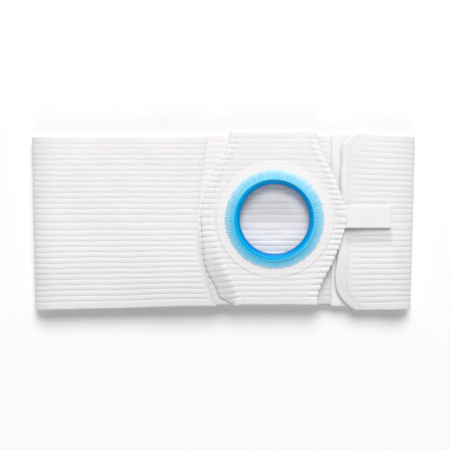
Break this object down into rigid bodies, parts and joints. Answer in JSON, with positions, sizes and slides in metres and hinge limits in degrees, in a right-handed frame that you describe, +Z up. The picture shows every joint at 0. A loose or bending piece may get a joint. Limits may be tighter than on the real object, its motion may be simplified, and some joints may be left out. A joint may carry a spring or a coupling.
{
  "type": "hernia belt",
  "caption": "Wide ribbed elastic support belt, closed and lying flat, with an eight-sided front panel and a round ringed opening.",
  "frame": {"origin": "under the middle of the belt's outline, on the surface it lies on", "axes": "+X along the laid belt to the fastening's side, +Y across its width to its upper edge, +Z up from the surface to the front layer"},
  "size_m": [0.3376, 0.1582, 0.0242],
  "materials": {
    "white_elastic": "white ribbed woven elastic, matt",
    "white_fabric": "smooth white brushed fabric, matt",
    "white_tape": "smooth white woven tape, matt",
    "blue_ring": "bright blue moulded plastic with a soft gloss",
    "blue_thread": "blue overlock thread"
  },
  "bodies": {
    "root": {"belt_band": "white_elastic", "front_carrier": "white_elastic", "support_panel": "white_elastic", "opening_patch": "white_fabric", "opening_ring": "blue_ring", "loop_patch": "white_fabric", "hook_patch": "white_fabric", "end_binding": "white_tape", "pull_tab": "white_tape"}
  },
  "joints": []
}
